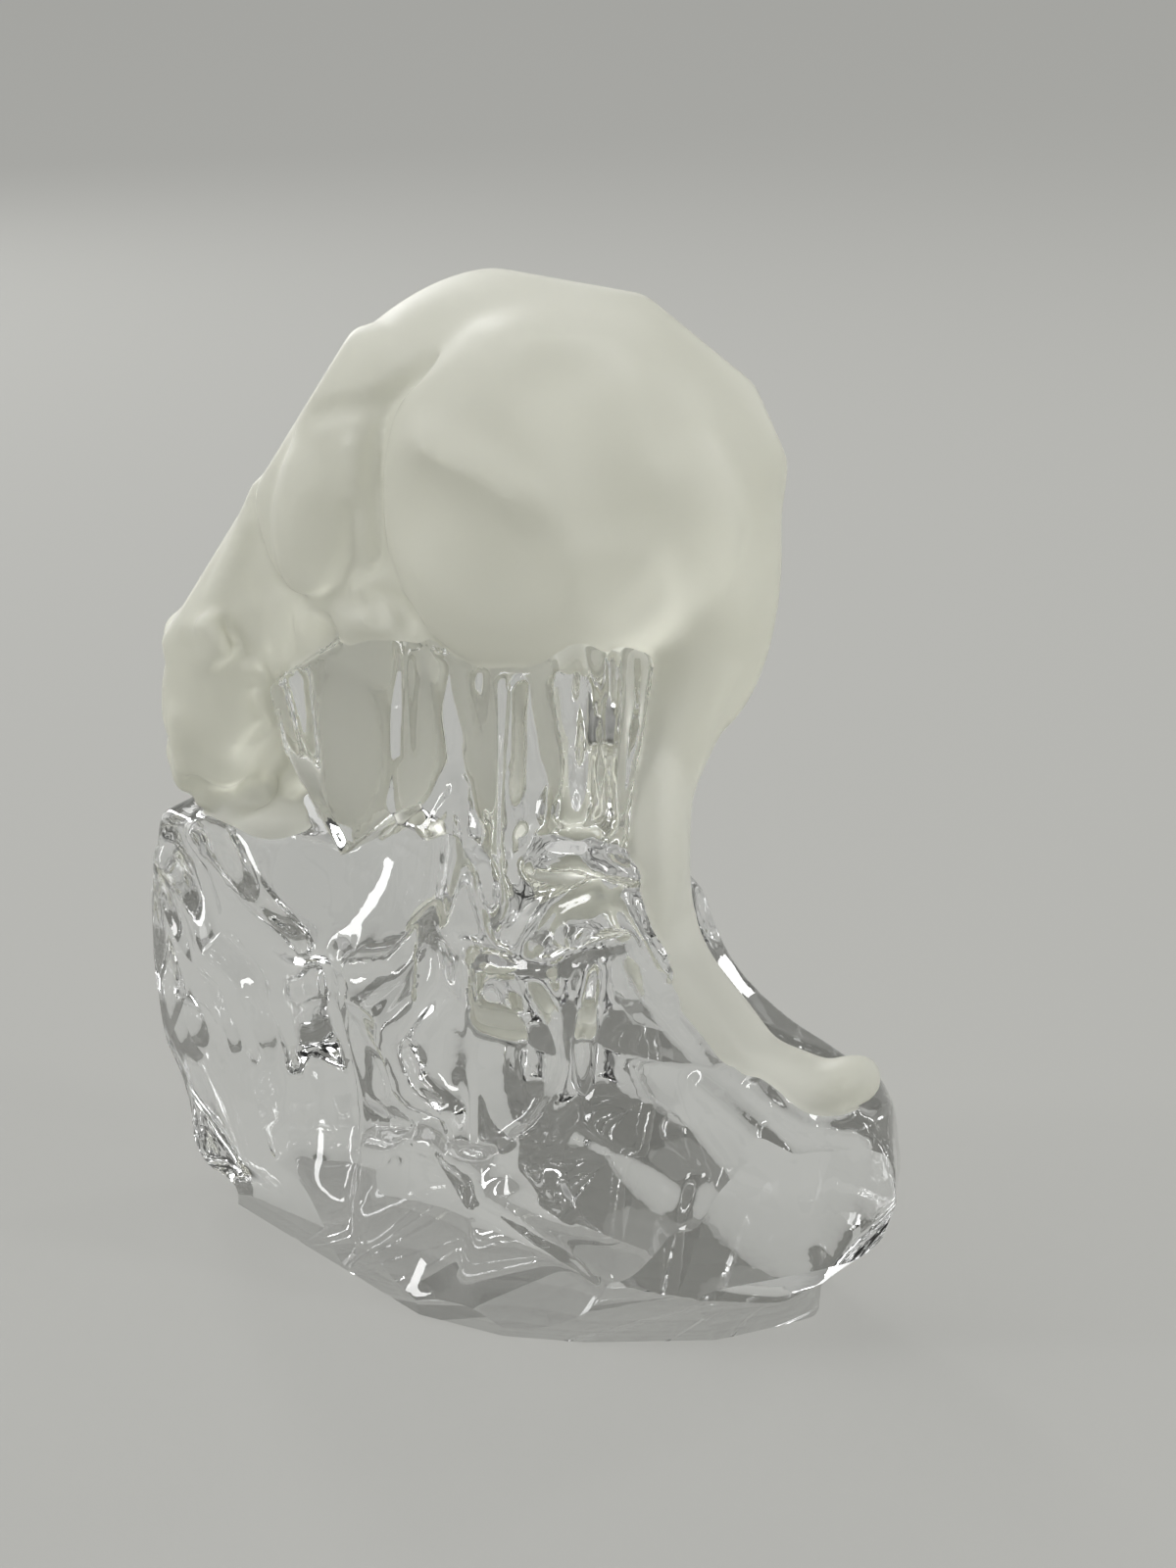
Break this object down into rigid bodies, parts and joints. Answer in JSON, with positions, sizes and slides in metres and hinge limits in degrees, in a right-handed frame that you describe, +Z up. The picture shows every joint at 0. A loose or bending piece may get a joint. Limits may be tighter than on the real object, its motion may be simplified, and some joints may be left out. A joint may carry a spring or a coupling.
{
  "type": "crystal cat figurine",
  "caption": "Satin-frosted crystal cat prowling down a tall clear crystal crag, head low and tail trailing along the rock to its end; a free-standing ornament.",
  "frame": {"origin": "on the polished underside, below the middle of the rock", "axes": "+Z up, -X the way the cat heads, -Y the cat's left side"},
  "size_m": [0.195, 0.0849, 0.2337],
  "materials": {
    "frosted_crystal": "acid-satin frosted lead crystal",
    "clear_crystal": "fire-polished and cut lead crystal"
  },
  "bodies": {
    "root": {"head": "frosted_crystal", "left_ear": "frosted_crystal", "left_fore_paw": "frosted_crystal", "left_foreleg": "frosted_crystal", "left_haunch": "frosted_crystal", "left_hind_paw": "frosted_crystal", "left_shoulder": "frosted_crystal", "neck": "frosted_crystal", "right_ear": "frosted_crystal", "right_fore_paw": "frosted_crystal", "right_foreleg": "frosted_crystal", "right_haunch": "frosted_crystal", "right_hind_paw": "frosted_crystal", "right_shank": "frosted_crystal", "right_shoulder": "frosted_crystal", "rock_boulder": "clear_crystal", "rock_column": "clear_crystal", "rock_crag": "clear_crystal", "rock_flank": "clear_crystal", "rock_foot": "clear_crystal", "rock_ledge": "clear_crystal", "rock_step": "clear_crystal", "tail": "frosted_crystal", "trunk": "frosted_crystal"}
  },
  "joints": []
}
